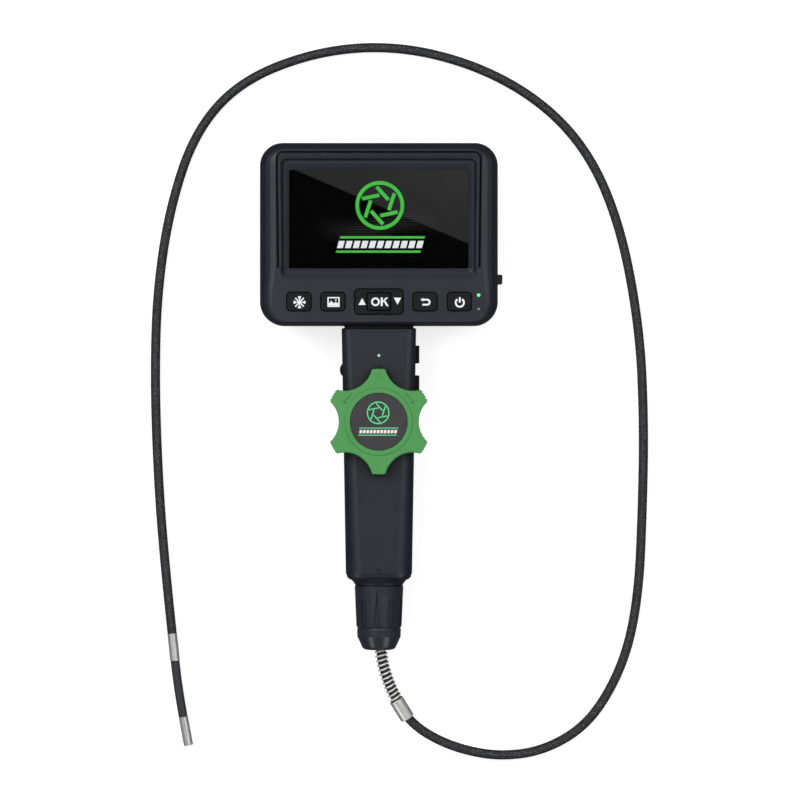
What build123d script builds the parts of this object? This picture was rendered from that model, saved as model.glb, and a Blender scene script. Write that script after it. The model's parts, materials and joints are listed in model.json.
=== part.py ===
from build123d import *
import os
from math import atan2, cos, degrees, pi, radians, sin, tan

# Two-way articulating inspection camera lying on its back, in millimetres.
# +Z points out of the screen, +Y runs from the handle to the head, and the floor is z = 0.

# Head: a 4.3 inch monitor in a two-part case
HEAD_HALF_W = 62.5
HEAD_LOW_Y = 37.7
HEAD_TOP_Y = 133.8
HEAD_LOW_R = 12.5
HEAD_TOP_R = 12.0
HEAD_BACK_Z = 14.0
HEAD_SPLIT_Z = 27.0
SLOPE_Z = 31.0
HEAD_FRONT_Z = 40.0
PANEL_UNDER_Z = 36.8
HEAD_WALL = 2.4
WINDOW_W = 93.9
WINDOW_H = 51.5
WINDOW_Y = 93.5
SPINE_HALF_W = 19.4
SPINE_TOP_Y = 106.0
STUB_HALF_W = 9.0
HEAD_SCREW_PLACES = [(-55.0, 48.5), (55.0, 48.5), (-55.0, 123.0), (55.0, 123.0)]

# Flap over the sockets on the case's right edge
PORT_Y0 = 59.1
PORT_Y1 = 96.0
PORT_Z0 = 18.5
PORT_Z1 = 25.0
COVER_GAP = 0.3

# Keys in the row under the screen: name -> (x, width, height)
KEY_Y = 50.2
KEY_R = 2.0
KEY_TOP_Z = 40.5
KEY_GAP = 0.35
KEY_FLANGE = 0.9
KEYS = {
    "freeze_button": (-41.8, 12.7, 9.7),
    "gallery_button": (-24.0, 12.7, 9.7),
    "back_button": (24.2, 12.7, 9.7),
    "power_button": (42.2, 12.6, 9.7),
}
ROCKER_W = 25.4
ROCKER_H = 13.2
OK_W = 12.2
OK_H = 8.9
LED_X = 52.3
POWER_LED_Y = 53.6
STATUS_LED_Y = 46.4

# Handle: two half shells, split along the axis of the probe
HANDLE_TOP_Y = 36.5
HANDLE_LOW_Y = -96.2
HANDLE_TOP_HALF_W = 19.6
HANDLE_LOW_HALF_W = 17.4
HANDLE_DEPTH = 34.0
HANDLE_WALL = 2.2
HANDLE_BACK_R = 6.5
AXIS_Z = 17.0
NECK_R = 12.6
NECK_END_Y = -99.0
HANDLE_LED_Y = 22.1
HANDLE_LED_R = 0.8
RING_MARK_Y = -91.2
HANDLE_SCREW_PLACES = [(-12.4, 31.0), (12.4, 31.0), (-12.0, -81.0), (12.0, -81.0)]

# Keys on the handle's flanks
SIDE_KEY_Z = 22.5
SIDE_KEYS = {"side_button_upper": 22.7, "side_button_lower": 7.0}
SIDE_KEY_LONG = 9.4
SIDE_KEY_DEEP = 6.6
SIDE_KEY_OUT_X = 21.3
LAMP_KEY_Y = 14.6
LAMP_KEY_R = 3.1
LAMP_KEY_OUT = 1.4

# Steering knob
KNOB_Y = -12.6
KNOB_R = 27.8
KNOB_VALLEY_R = 14.4
KNOB_VALLEY_AT = 35.3
KNOB_LOW_Z = 35.0
KNOB_SKIRT_Z = 46.1
KNOB_TOP_Z = 46.6
BADGE_R = 15.1
SHAFT_R = 4.0

# Probe nut and what it clamps
NUT_TOP_Y = -99.3
NUT_END_Y = -133.3
NUT_BORE_R = 9.8
NUT_MOUTH_R = 5.4
NUT_GROOVES = 10
NUT_GROOVE_W = 3.4
NUT_GROOVE_FLOOR_R = 11.65
NUT_TAPER = 2.42
NUT_REST_TURN = -5.0
SPIGOT_R = 9.4
PLUG_R = 6.5
PLUG_END_Y = -119.0

# Probe: corner points of the cable's centre line, from the plug to the tip ferrule
CABLE_R = 2.45
ROUTE = [
    (0.0, -119.0, 17.0), (0.6, -135.5, 16.9), (4.2, -149.2, 14.8), (9.5, -160.8, 12.0), (16.0, -171.3, 9.4),
    (27.3, -180.0, 7.2), (43.8, -187.0, 5.4), (63.9, -190.7, 4.1), (86.0, -188.1, 3.2), (106.9, -177.0, 2.7),
    (120.9, -159.7, 2.6), (132.3, -134.4, 2.6), (138.1, -102.7, 2.6), (140.0, -61.0, 2.6), (140.9, -14.5, 2.6),
    (138.7, 35.6, 2.6), (128.9, 89.5, 2.6), (112.2, 129.6, 2.6), (86.3, 157.7, 2.6), (50.5, 177.4, 2.6),
    (8.6, 187.3, 2.6), (-33.3, 184.2, 2.6), (-73.9, 168.3, 2.6), (-98.0, 141.2, 2.6), (-111.4, 100.6, 2.6),
    (-118.0, 56.8, 2.6), (-119.3, 12.4, 2.6), (-117.9, -35.6, 2.6), (-114.6, -83.2, 2.6), (-110.1, -125.4, 2.6),
]
ARC_SHARE = 0.45

# Strain relief on the cable
SPRING_TURNS = 14
SPRING_COIL_R = 2.98
SPRING_WIRE_R = 0.46
SPRING_START = 10.5
SPRING_END = 41.4
SPRING_FERRULE_R = 3.85
SPRING_FERRULE_LONG = 12.0

# Steerable tip: ferrule, bending section of short links, camera head
TIP_Z = 2.6
TIP_FERRULE_R = 2.55
TIP_FERRULE_LONG = 14.7
BEND_LONG = 30.0
LINKS = 5
LINK_SET_BACK = 0.75
LINK_R = 2.05
LINK_BORE_R = 1.3
EAR_HALF_W = 0.55
REST_CURL = 0.75
SLEEVE_R = 2.35
CAMERA_R = 2.45
CAMERA_LONG = 15.5


def block(x0, x1, y0, y1, z0, z1):
    centre = Pos((x0 + x1) / 2, (y0 + y1) / 2, (z0 + z1) / 2)
    return centre * Box(x1 - x0, y1 - y0, z1 - z0)


def rod_x(radius, x0, x1, y, z):
    return Pos((x0 + x1) / 2, y, z) * Rot(0, 90, 0) * Cylinder(radius, x1 - x0)


def rod_y(radius, y0, y1, x=0.0, z=AXIS_Z):
    return Pos(x, (y0 + y1) / 2, z) * Rot(90, 0, 0) * Cylinder(radius, y1 - y0)


def rod_z(radius, z0, z1, x=0.0, y=0.0):
    return Pos(x, y, (z0 + z1) / 2) * Cylinder(radius, z1 - z0)


def pad(width, height, radius, z0, z1, x=0.0, y=0.0):
    return extrude(Pos(x, y, z0) * RectangleRounded(width, height, radius), z1 - z0)


def turned(profile):
    """A body of revolution about the probe's axis, from (radius, y) points."""
    outline = make_face(Polyline(*profile, close=True))
    return Pos(0, 0, AXIS_Z) * revolve(outline, Axis.Y)


def rounded_face(points, tangents):
    """A face whose corners are rounded by arcs that start a given distance from each corner."""
    radii = []
    for i, here in enumerate(points):
        before = Vector(here) - Vector(points[i - 1])
        after = Vector(points[(i + 1) % len(points)]) - Vector(here)
        radii.append(tangents[i] / tan(radians(before.get_angle(after)) / 2))
    return make_face(FilletPolyline(*points, radius=radii, close=True))


def group(solids):
    return Compound(list(solids))


def save(name, shape):
    export_step(shape, f"parts/{name}.step")


# ---------------------------------------------------------------- head

def case_face(inset, z):
    """The case's outline seen from the front, drawn in by inset."""
    x = HEAD_HALF_W - inset
    y0 = HEAD_LOW_Y + inset
    y1 = HEAD_TOP_Y - inset
    low = max(HEAD_LOW_R - inset, 2.0)
    top = max(HEAD_TOP_R - inset, 2.0)
    points = [(-x, y0, z), (x, y0, z), (x, y1, z), (-x, y1, z)]
    return rounded_face(points, [low, low, top, top])


def bezel_face(share, z):
    """The bezel's outline on its sloping rim: share 0 is the case's outline, 1 the front panel's."""
    low_x = HEAD_HALF_W - 6.4 * share
    top_x = HEAD_HALF_W - 8.2 * share
    y0 = HEAD_LOW_Y + 1.9 * share
    y1 = HEAD_TOP_Y - 4.7 * share
    flare_low = 56.0 - 2.0 * share
    flare_top = 66.0
    low_r = HEAD_LOW_R - 3.0 * share
    top_r = HEAD_TOP_R - 5.0 * share
    right = [(low_x, y0, z), (low_x, flare_low, z), (top_x, flare_top, z), (top_x, y1, z)]
    left = [(-x, y, z) for x, y, z in reversed(right)]
    rounding = [low_r, 3.0, 4.0, top_r]
    return rounded_face(right + left, rounding + rounding[::-1])


def window_face(width, height, y, radius, z):
    x = width / 2
    y0 = y - height / 2
    y1 = y + height / 2
    return rounded_face([(-x, y0, z), (x, y0, z), (x, y1, z), (-x, y1, z)], [radius] * 4)


def arch(x, top_y, low_y, radius, width, z0, z1):
    """A ribbon shaped like an arch around the top and sides of the window."""
    path = FilletPolyline((-x + 0.7, low_y), (-x, top_y), (x, top_y), (x - 0.7, low_y), radius=radius)
    ribbon = Pos(0, 0, z0) * trace(path, line_width=width)
    ends = rod_z(width / 2, z0, z1, -x + 0.7, low_y) + rod_z(width / 2, z0, z1, x - 0.7, low_y)
    return extrude(ribbon, z1 - z0) + ends


def bezel_outside():
    solid = extrude(case_face(0.0, HEAD_SPLIT_Z), SLOPE_Z - HEAD_SPLIT_Z)
    rim = [(0.02, SLOPE_Z), (0.07, 33.2), (0.2, 35.6), (0.42, 37.8), (0.68, 39.2), (0.87, 39.8), (1.0, HEAD_FRONT_Z)]
    faces = [bezel_face(share, z) for share, z in rim]
    for lower, upper in zip(faces, faces[1:]):
        solid += loft([lower, upper], ruled=True)
    return solid


def bezel_inside():
    low = extrude(case_face(HEAD_WALL, HEAD_SPLIT_Z), SLOPE_Z - 1.0 - HEAD_SPLIT_Z)
    high = pad(106.6, 86.6, 1.4, SLOPE_Z - 1.5, PANEL_UNDER_Z, 0, 85.6)
    return low + high


def screen_recess():
    """The stepped, sloping pocket that leads down to the glass."""
    upper = loft([
        window_face(102.4, 63.4, 93.7, 3.0, HEAD_FRONT_Z),
        window_face(99.6, 59.4, 94.5, 2.2, HEAD_FRONT_Z - 1.7),
    ], ruled=True)
    lower = loft([
        window_face(98.2, 57.6, 94.0, 1.6, HEAD_FRONT_Z - 1.7),
        window_face(WINDOW_W, WINDOW_H, WINDOW_Y, 0.8, PANEL_UNDER_Z),
    ], ruled=True)
    lip = extrude(window_face(102.4, 63.4, 93.7, 3.0, HEAD_FRONT_Z), 1.0)
    return upper + lower + lip


def key_hole(x, width, height):
    return pad(width + 2 * KEY_GAP, height + 2 * KEY_GAP, KEY_R + KEY_GAP, PANEL_UNDER_Z - 1, HEAD_FRONT_Z + 1,
               x, KEY_Y)


def front_bezel():
    solid = bezel_outside() - bezel_inside() - screen_recess()
    for x, width, height in KEYS.values():
        solid -= key_hole(x, width, height)
    solid -= key_hole(0.0, ROCKER_W, ROCKER_H)
    solid -= arch(53.5, 128.6, 68.6, 3.4, 1.0, HEAD_FRONT_Z - 1.5, HEAD_FRONT_Z + 1)
    ridge = arch(52.2, 127.1, 68.6, 2.6, 1.6, HEAD_FRONT_Z - 0.4, HEAD_FRONT_Z + 0.45)
    ridge = chamfer(ridge.faces().sort_by(Axis.Z)[-1].edges(), 0.3)
    solid += ridge
    solid -= rod_z(1.05, PANEL_UNDER_Z - 1, HEAD_FRONT_Z + 1, LED_X, POWER_LED_Y)
    solid -= rod_z(0.65, PANEL_UNDER_Z - 1, HEAD_FRONT_Z + 1, LED_X, STATUS_LED_Y)
    for x, y in HEAD_SCREW_PLACES:
        solid += rod_z(2.8, HEAD_SPLIT_Z, SLOPE_Z + 0.4, x, y)
        solid -= rod_z(1.3, HEAD_SPLIT_Z - 1, SLOPE_Z - 0.4, x, y)
    return solid


def spine_face(z, half_w, top_y):
    points = [(-half_w, HEAD_LOW_Y, z), (half_w, HEAD_LOW_Y, z), (half_w, top_y, z), (-half_w, top_y, z)]
    return rounded_face(points, [1.0, 1.0, 8.0, 8.0])


def rear_cover():
    rim = [(4.5, HEAD_BACK_Z), (1.4, HEAD_BACK_Z + 1.4), (0.0, HEAD_BACK_Z + 4.4), (0.0, HEAD_SPLIT_Z)]
    faces = [case_face(inset, z) for inset, z in rim]
    solid = None
    for lower, upper in zip(faces, faces[1:]):
        step = loft([lower, upper], ruled=True)
        solid = step if solid is None else solid + step
    spine = [(0.0, 15.4, 96.0), (1.6, 17.6, 99.5), (HEAD_BACK_Z + 0.5, SPINE_HALF_W, SPINE_TOP_Y)]
    spine_faces = [spine_face(*row) for row in spine]
    for lower, upper in zip(spine_faces, spine_faces[1:]):
        solid += loft([lower, upper], ruled=True)
    solid -= extrude(case_face(HEAD_WALL, HEAD_BACK_Z + HEAD_WALL + 2.2), 20)
    solid -= extrude(case_face(6.0, HEAD_BACK_Z + HEAD_WALL), 20)
    solid -= pad(28.0, 54.0, 3.0, 2.4, HEAD_BACK_Z + 5, 0, 68.0)
    solid -= block(-STUB_HALF_W - 0.2, STUB_HALF_W + 0.2, HEAD_LOW_Y - 1, 42.0, 8.0, 24.0)
    solid -= block(58.0, 64.0, PORT_Y0, PORT_Y1, PORT_Z0, PORT_Z1)
    for x, y in HEAD_SCREW_PLACES:
        solid += rod_z(2.8, HEAD_BACK_Z + 1.5, HEAD_SPLIT_Z, x, y)
        solid -= rod_z(1.35, HEAD_BACK_Z - 1, HEAD_SPLIT_Z + 1, x, y)
        solid -= rod_z(2.6, HEAD_BACK_Z - 1, HEAD_BACK_Z + 3.2, x, y)
    for row in range(5):
        y = 112.0 + 3.2 * row
        solid -= pad(26.0, 1.4, 0.69, HEAD_BACK_Z - 1, HEAD_BACK_Z + 5, 0, y)
    return solid


def cross_screw(x, y, head_z, head_r, shank_r, shank_long):
    """A pan head screw that points up, with a cross recess in its head."""
    head = rod_z(head_r, head_z, head_z + 1.8, x, y)
    slots = block(x - 1.3, x + 1.3, y - 0.25, y + 0.25, head_z - 1, head_z + 0.9)
    slots += block(x - 0.25, x + 0.25, y - 1.3, y + 1.3, head_z - 1, head_z + 0.9)
    return head + rod_z(shank_r, head_z + 1.8, head_z + 1.8 + shank_long, x, y) - slots


def head_screws():
    return group(cross_screw(x, y, HEAD_BACK_Z + 1.4, 2.4, 1.2, 13.0) for x, y in HEAD_SCREW_PLACES)


def port_cover():
    """Soft flap over the sockets: it swings out about its upper end, with a pull tab at its lower end."""
    plate = block(60.6, 62.5, PORT_Y0 + COVER_GAP, PORT_Y1 - COVER_GAP, PORT_Z0 + COVER_GAP, PORT_Z1 - COVER_GAP)
    plate = fillet(plate.edges().filter_by(Axis.X), 1.2)
    tab = block(62.0, 65.1, PORT_Y0 + 0.5, PORT_Y0 + 5.7, PORT_Z0 + 1.4, PORT_Z1 - 1.4)
    tab = fillet(tab.edges().filter_by(Axis.Z).sort_by(Axis.X)[-2:], 0.9)
    return plate + tab


def port_block():
    """Charging socket and card slot on one carrier behind the flap."""
    solid = block(50.0, 58.6, PORT_Y0 + 1, PORT_Y1 - 1, PORT_Z0 + 0.2, PORT_Z1 - 0.2)
    socket = fillet(block(53.0, 60.0, 70.6, 79.6, 20.2, 23.4).edges().filter_by(Axis.X), 1.5)
    tongue = block(53.0, 58.0, 71.8, 78.4, 21.5, 22.1)
    card = block(52.0, 60.0, 82.0, 94.0, 21.2, 22.2)
    return solid - socket + tongue - card


def screen_glass():
    return pad(104.0, 60.0, 1.5, PANEL_UNDER_Z - 1.2, PANEL_UNDER_Z, 0, WINDOW_Y)


def screen_gasket():
    outer = pad(104.0, 60.0, 1.5, PANEL_UNDER_Z - 2.2, PANEL_UNDER_Z - 1.2, 0, WINDOW_Y)
    return outer - pad(97.6, 55.4, 1.0, PANEL_UNDER_Z - 3, PANEL_UNDER_Z, 0, WINDOW_Y)


def lcd_panel():
    glass_stack = pad(105.4, 67.2, 0.8, 31.7, 34.6, 0, WINDOW_Y)
    tail = block(-14, 14, 58.6, 61.2, 32.2, 32.6)
    return glass_stack + tail


def main_board():
    board = pad(100.0, 82.0, 2.0, 27.4, 29.0, 0, 86.4)
    for x, y in HEAD_SCREW_PLACES:
        board -= rod_z(3.2, 26, 30, x, y)
    chips = [block(-9, 9, 84, 102, 29.0, 30.3), block(18, 30, 86, 98, 29.0, 30.1), block(-34, -24, 88, 96, 29.0, 30.1)]
    chips += [block(-20, -8, 66, 70, 29.0, 30.8), block(8, 24, 66, 71, 29.0, 30.8)]
    return group([board] + chips)


def keypad_membrane():
    mat = pad(101.0, 15.6, 2.0, 31.6, 32.8, 0, 50.6)
    for x in [key[0] for key in KEYS.values()] + [-9.6, 0.0, 9.6]:
        mat += rod_z(2.2, 32.8, 33.6, x, KEY_Y)
    return mat


def led_pipe(radius, y):
    """A clear light pipe with a collar under the panel."""
    return rod_z(radius, PANEL_UNDER_Z - 0.8, HEAD_FRONT_Z + 0.15, LED_X, y)


def key(x, width, height, low_z=34.4, flange_top_z=PANEL_UNDER_Z - 0.3):
    """A key cap with a flange that keeps it behind the panel."""
    cap = pad(width, height, KEY_R, low_z, KEY_TOP_Z, x, KEY_Y)
    cap = fillet(cap.faces().sort_by(Axis.Z)[-1].edges(), 0.6)
    flange = pad(width + 2 * KEY_FLANGE, height + 2 * KEY_FLANGE, KEY_R, low_z, flange_top_z, x, KEY_Y)
    return cap + flange


def up_down_rocker():
    """A rocker plate with a window in its middle for the OK key."""
    solid = key(0.0, ROCKER_W, ROCKER_H, low_z=34.6, flange_top_z=35.9)
    solid -= pad(OK_W + 0.9, OK_H + 0.9, 1.6, 30, 45, 0, KEY_Y)
    return solid - block(-0.75, 0.75, KEY_Y - ROCKER_H, KEY_Y + ROCKER_H, KEY_TOP_Z - 0.45, KEY_TOP_Z + 1)


def ok_button():
    cap = pad(OK_W, OK_H, 1.4, 34.4, KEY_TOP_Z + 0.2, 0, KEY_Y)
    return fillet(cap.faces().sort_by(Axis.Z)[-1].edges(), 0.5)


# ---------------------------------------------------------------- neck between head and handle

def neck_gasket():
    solid = block(-18.2, 18.2, HANDLE_TOP_Y, HEAD_LOW_Y, 1.4, 30.5)
    solid = fillet(solid.edges().filter_by(Axis.Y), 4.0)
    return solid - block(-STUB_HALF_W - 0.2, STUB_HALF_W + 0.2, HANDLE_TOP_Y - 1, HEAD_LOW_Y + 1, 8.0, 24.0)


def neck_stub():
    """Hollow tenon that joins the handle to the head and carries the wires between them."""
    solid = block(-STUB_HALF_W, STUB_HALF_W, 29.0, 47.0, 8.2, 23.8)
    return solid - block(2.0 - STUB_HALF_W, STUB_HALF_W - 2.0, 28.0, 48.0, 10.2, 21.8)


# ---------------------------------------------------------------- handle

def handle_share(y):
    """How far down the handle y lies: 0 at its top, 1 at its lower end."""
    return (HANDLE_TOP_Y - y) / (HANDLE_TOP_Y - HANDLE_LOW_Y)


def handle_half_w(y):
    return HANDLE_TOP_HALF_W + (HANDLE_LOW_HALF_W - HANDLE_TOP_HALF_W) * handle_share(y)


def handle_face(y, inset):
    """The handle's cross-section at height y, whose front corners get rounder towards the lower end."""
    x = handle_half_w(y) - inset
    z0 = inset
    z1 = HANDLE_DEPTH - inset
    points = [(-x, y, z0), (x, y, z0), (x, y, z1), (-x, y, z1)]
    front = max(4.6 + 4.4 * handle_share(y) - inset, 0.8)
    back = max(HANDLE_BACK_R - inset, 0.8)
    return rounded_face(points, [back, back, front, front])


def handle_outside():
    rows = [(HANDLE_TOP_Y, 0.5), (HANDLE_TOP_Y - 0.6, 0.0), (HANDLE_LOW_Y + 4.0, 0.0), (HANDLE_LOW_Y + 1.6, 0.7),
            (HANDLE_LOW_Y + 0.5, 1.9), (HANDLE_LOW_Y, 3.6)]
    faces = []
    for y, inset in rows:
        faces.append(handle_face(y, inset))
    solid = None
    for upper, lower in zip(faces, faces[1:]):
        step = loft([upper, lower], ruled=True)
        solid = step if solid is None else solid + step
    neck = [(0, HANDLE_LOW_Y + 6), (14.8, HANDLE_LOW_Y + 6), (14.8, HANDLE_LOW_Y), (13.7, HANDLE_LOW_Y - 1.0),
            (13.0, HANDLE_LOW_Y - 2.0), (NECK_R, NECK_END_Y), (0, NECK_END_Y)]
    return solid + turned(neck)


def handle_inside():
    top = handle_face(HANDLE_TOP_Y - HANDLE_WALL, HANDLE_WALL)
    low = handle_face(HANDLE_LOW_Y + 3.0, HANDLE_WALL)
    return loft([top, low], ruled=True)


def handle_body():
    """Both half shells in one piece, before they are cut apart."""
    solid = handle_outside() - handle_inside()
    solid -= block(-STUB_HALF_W - 0.2, STUB_HALF_W + 0.2, HANDLE_TOP_Y - 4, HANDLE_TOP_Y + 1, 8.0, 24.0)
    solid -= rod_y(9.6, NECK_END_Y - 1, HANDLE_LOW_Y + 6)
    for y in SIDE_KEYS.values():
        hole = block(14, 24, y - SIDE_KEY_LONG / 2 - 0.3, y + SIDE_KEY_LONG / 2 + 0.3,
                     SIDE_KEY_Z - SIDE_KEY_DEEP / 2 - 0.3, SIDE_KEY_Z + SIDE_KEY_DEEP / 2 + 0.3)
        solid -= fillet(hole.edges().filter_by(Axis.X), 1.0)
    solid -= rod_x(LAMP_KEY_R + 0.3, -24, -14, LAMP_KEY_Y, SIDE_KEY_Z)
    solid += rod_z(9.0, HANDLE_DEPTH - HANDLE_WALL, HANDLE_DEPTH + 0.55, 0, KNOB_Y)
    solid -= rod_z(6.0, 25, 40, 0, KNOB_Y)
    solid -= rod_z(HANDLE_LED_R + 0.05, 30, 36, 0, HANDLE_LED_Y)
    mark = rod_z(1.4, HANDLE_DEPTH - 0.3, HANDLE_DEPTH + 1, 0, RING_MARK_Y)
    solid -= mark - rod_z(1.0, HANDLE_DEPTH - 1, HANDLE_DEPTH + 2, 0, RING_MARK_Y)
    return solid


def seam_groove():
    """A fine groove around the handle where the half shells meet."""
    low_y = HANDLE_LOW_Y - 0.1
    ring = block(-30, 30, low_y, HANDLE_TOP_Y + 1, AXIS_Z - 0.25, AXIS_Z + 0.25)
    top = handle_half_w(HANDLE_TOP_Y) - 0.45
    low = handle_half_w(HANDLE_LOW_Y) - 0.45
    core = make_face(Polyline((-low, low_y), (low, low_y), (top, HANDLE_TOP_Y + 1), (-top, HANDLE_TOP_Y + 1),
                              close=True))
    return ring - extrude(Pos(0, 0, AXIS_Z - 1) * core, 2)


def handle_front_shell(body):
    solid = body & block(-40, 40, -110, 50, AXIS_Z, 50)
    for x, y in HANDLE_SCREW_PLACES:
        solid += rod_z(2.6, AXIS_Z, HANDLE_DEPTH - HANDLE_WALL + 0.1, x, y)
        solid -= rod_z(1.3, AXIS_Z - 1, HANDLE_DEPTH - 6, x, y)
    return solid - seam_groove()


def handle_rear_shell(body):
    solid = body & block(-40, 40, -110, 50, -5, AXIS_Z)
    for x, y in HANDLE_SCREW_PLACES:
        solid += rod_z(2.9, 1.4, AXIS_Z, x, y)
        solid -= rod_z(1.35, -1, AXIS_Z + 1, x, y)
        solid -= rod_z(2.5, -1, 3.4, x, y)
    for row in range(9):
        solid -= pad(18.0, 1.8, 0.88, -1, 0.7, 0, -70.0 + 6.0 * row)
    return solid - seam_groove()


def handle_screws():
    return group(cross_screw(x, y, 1.6, 2.3, 1.2, 22.0) for x, y in HANDLE_SCREW_PLACES)


def handle_led():
    return rod_z(HANDLE_LED_R, 30.5, HANDLE_DEPTH + 0.1, 0, HANDLE_LED_Y)


def side_button(y):
    z0 = SIDE_KEY_Z - SIDE_KEY_DEEP / 2
    z1 = SIDE_KEY_Z + SIDE_KEY_DEEP / 2
    cap = block(15.0, SIDE_KEY_OUT_X, y - SIDE_KEY_LONG / 2, y + SIDE_KEY_LONG / 2, z0, z1)
    cap = fillet(cap.edges().filter_by(Axis.X), 0.8)
    cap = fillet(cap.faces().sort_by(Axis.X)[-1].edges(), 0.5)
    return cap + block(15.0, 15.9, y - SIDE_KEY_LONG / 2 - 0.8, y + SIDE_KEY_LONG / 2 + 0.8, z0 - 0.8, z1 + 0.8)


def side_switch_board():
    board = block(11.4, 12.6, 0.0, 29.0 - 3.2, 18.2, 26.8)
    for y in SIDE_KEYS.values():
        board += block(12.6, 13.6, y - 1.8, y + 1.8, SIDE_KEY_Z - 1.8, SIDE_KEY_Z + 1.8)
    return board


def lamp_button():
    """Round domed push button on the left flank."""
    half_w = handle_half_w(LAMP_KEY_Y)
    stem = rod_x(LAMP_KEY_R, -half_w - 0.3, -15.0, LAMP_KEY_Y, SIDE_KEY_Z)
    sphere_r = 4.6
    dome = Pos(sphere_r - half_w - LAMP_KEY_OUT, LAMP_KEY_Y, SIDE_KEY_Z) * Sphere(sphere_r)
    dome &= rod_x(LAMP_KEY_R, -half_w - 3, -half_w - 0.2, LAMP_KEY_Y, SIDE_KEY_Z)
    return stem + dome + rod_x(LAMP_KEY_R + 1.0, -16.0, -15.0, LAMP_KEY_Y, SIDE_KEY_Z)


def battery_cell():
    body = rod_y(9.1, -87.0, -23.0, 0, 12.0)
    body = chamfer(body.edges(), 0.5)
    return body + rod_y(3.0, -23.0, -22.2, 0, 12.0)


def battery_contacts():
    low = block(-5, 5, -88.0, -87.3, 6, 18) + rod_y(2.2, -87.3, -87.0, 0, 12.0)
    high = block(-5, 5, -21.6, -20.9, 6, 18) + rod_y(2.2, -22.2, -21.6, 0, 12.0)
    return group([low, high])


def drum_bracket():
    """Sheet bracket that carries the lower end of the knob's shaft."""
    plate = block(-12.2, 12.2, KNOB_Y - 6.5, KNOB_Y + 10.0, 14.0, 15.4)
    plate += block(-12.2, -10.8, KNOB_Y - 6.5, KNOB_Y + 10.0, 3.3, 14.0)
    plate += block(10.8, 12.2, KNOB_Y - 6.5, KNOB_Y + 10.0, 3.3, 14.0)
    return plate - rod_z(2.06, 10, 20, 0, KNOB_Y)


# ---------------------------------------------------------------- steering knob and its drive

def knob_outline():
    outline = Circle(KNOB_R)
    for step in range(6):
        angle = radians(60 * step)
        outline -= Pos(KNOB_VALLEY_AT * cos(angle), KNOB_VALLEY_AT * sin(angle)) * Circle(KNOB_VALLEY_R)
    return outline


def steering_knob():
    outline = knob_outline()
    outline = fillet(outline.vertices(), 1.0)
    skirt = extrude(Pos(0, KNOB_Y, KNOB_LOW_Z) * outline, KNOB_SKIRT_Z - KNOB_LOW_Z)
    skirt = fillet(skirt.faces().sort_by(Axis.Z)[-1].edges(), 0.9)
    solid = skirt + Pos(0, KNOB_Y, KNOB_TOP_Z - 0.75) * Cone(18.3, 17.5, 1.5)
    for lobe in range(6):
        for tooth in range(-2, 3):
            angle = radians(30 + 60 * lobe + 3.3 * tooth)
            x = (KNOB_R + 0.25) * cos(angle)
            y = KNOB_Y + (KNOB_R + 0.25) * sin(angle)
            solid -= rod_z(0.65, KNOB_LOW_Z - 1, KNOB_TOP_Z + 1, x, y)
    solid -= rod_z(BADGE_R + 0.05, KNOB_TOP_Z - 1.0, KNOB_TOP_Z + 1, 0, KNOB_Y)
    solid -= rod_z(22.0, KNOB_LOW_Z - 1, KNOB_LOW_Z + 2.0, 0, KNOB_Y) - rod_z(11.5, KNOB_LOW_Z - 2, 40, 0, KNOB_Y)
    solid -= rod_z(SHAFT_R, KNOB_LOW_Z - 1, 43.5, 0, KNOB_Y)
    solid -= rod_z(1.6, 40, KNOB_TOP_Z + 1, 0, KNOB_Y)
    solid -= rod_z(3.0, 44.4, KNOB_TOP_Z + 1, 0, KNOB_Y)
    ring = rod_z(1.9, 45.5, KNOB_SKIRT_Z + 0.15, 0, KNOB_Y + 23.4)
    return solid + (ring - rod_z(1.45, 45, 50, 0, KNOB_Y + 23.4))


def knob_badge():
    disc = rod_z(BADGE_R - 0.05, KNOB_TOP_Z - 1.0, KNOB_TOP_Z + 0.05, 0, KNOB_Y)
    return chamfer(disc.faces().sort_by(Axis.Z)[-1].edges(), 0.2)


def knob_screw():
    shank = rod_z(1.5, 37.0, 44.4, 0, KNOB_Y)
    head = rod_z(2.8, 44.4, 45.5, 0, KNOB_Y)
    hexagon = extrude(Pos(0, KNOB_Y, 44.7) * RegularPolygon(1.2, 6), 2)
    return shank + head - hexagon


def knob_shaft():
    solid = rod_z(SHAFT_R, 21.2, 43.5, 0, KNOB_Y) + rod_z(2.0, 13.0, 21.2, 0, KNOB_Y)
    return solid - rod_z(1.5, 37.0, 44.4, 0, KNOB_Y)


def wire_drum():
    """Grooved drum on the shaft that pays one wire out as it takes the other in."""
    solid = rod_z(9.4, 22.6, 27.6, 0, KNOB_Y)
    solid -= rod_z(10.0, 24.4, 25.8, 0, KNOB_Y) - rod_z(8.6, 24, 26, 0, KNOB_Y)
    return solid - rod_z(SHAFT_R, 20, 30, 0, KNOB_Y)


def shaft_bush():
    solid = rod_z(6.0, 29.2, 34.4, 0, KNOB_Y) + rod_z(7.4, 29.2, 30.6, 0, KNOB_Y)
    return solid - rod_z(SHAFT_R + 0.05, 28, 36, 0, KNOB_Y) - rod_z(5.0, 32.6, 36, 0, KNOB_Y)


def shaft_o_ring():
    return Pos(0, KNOB_Y, 33.4) * (Torus(4.5, 0.42))


def wire_guide():
    """Block that leads the two wires from the drum towards the probe."""
    solid = block(-10.5, 10.5, -89.8, -87.8, 21.8, 31.0)
    for side in (-1, 1):
        solid -= rod_y(0.6, -91.0, -87.0, side * 8.0, 25.1)
    return solid


def steering_wires():
    return group(rod_y(0.3, -89.6, -30.0, side * 8.0, 25.1) for side in (-1, 1))


# ---------------------------------------------------------------- probe nut and plug

def threads(core, crest, y0, y1, turns):
    """(radius, y) points of a row of ridges, from y0 down to y1."""
    points = []
    step = (y1 - y0) / turns
    for turn in range(turns):
        points += [(core, y0 + step * turn), (crest, y0 + step * (turn + 0.5))]
    return points + [(core, y1)]


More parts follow.
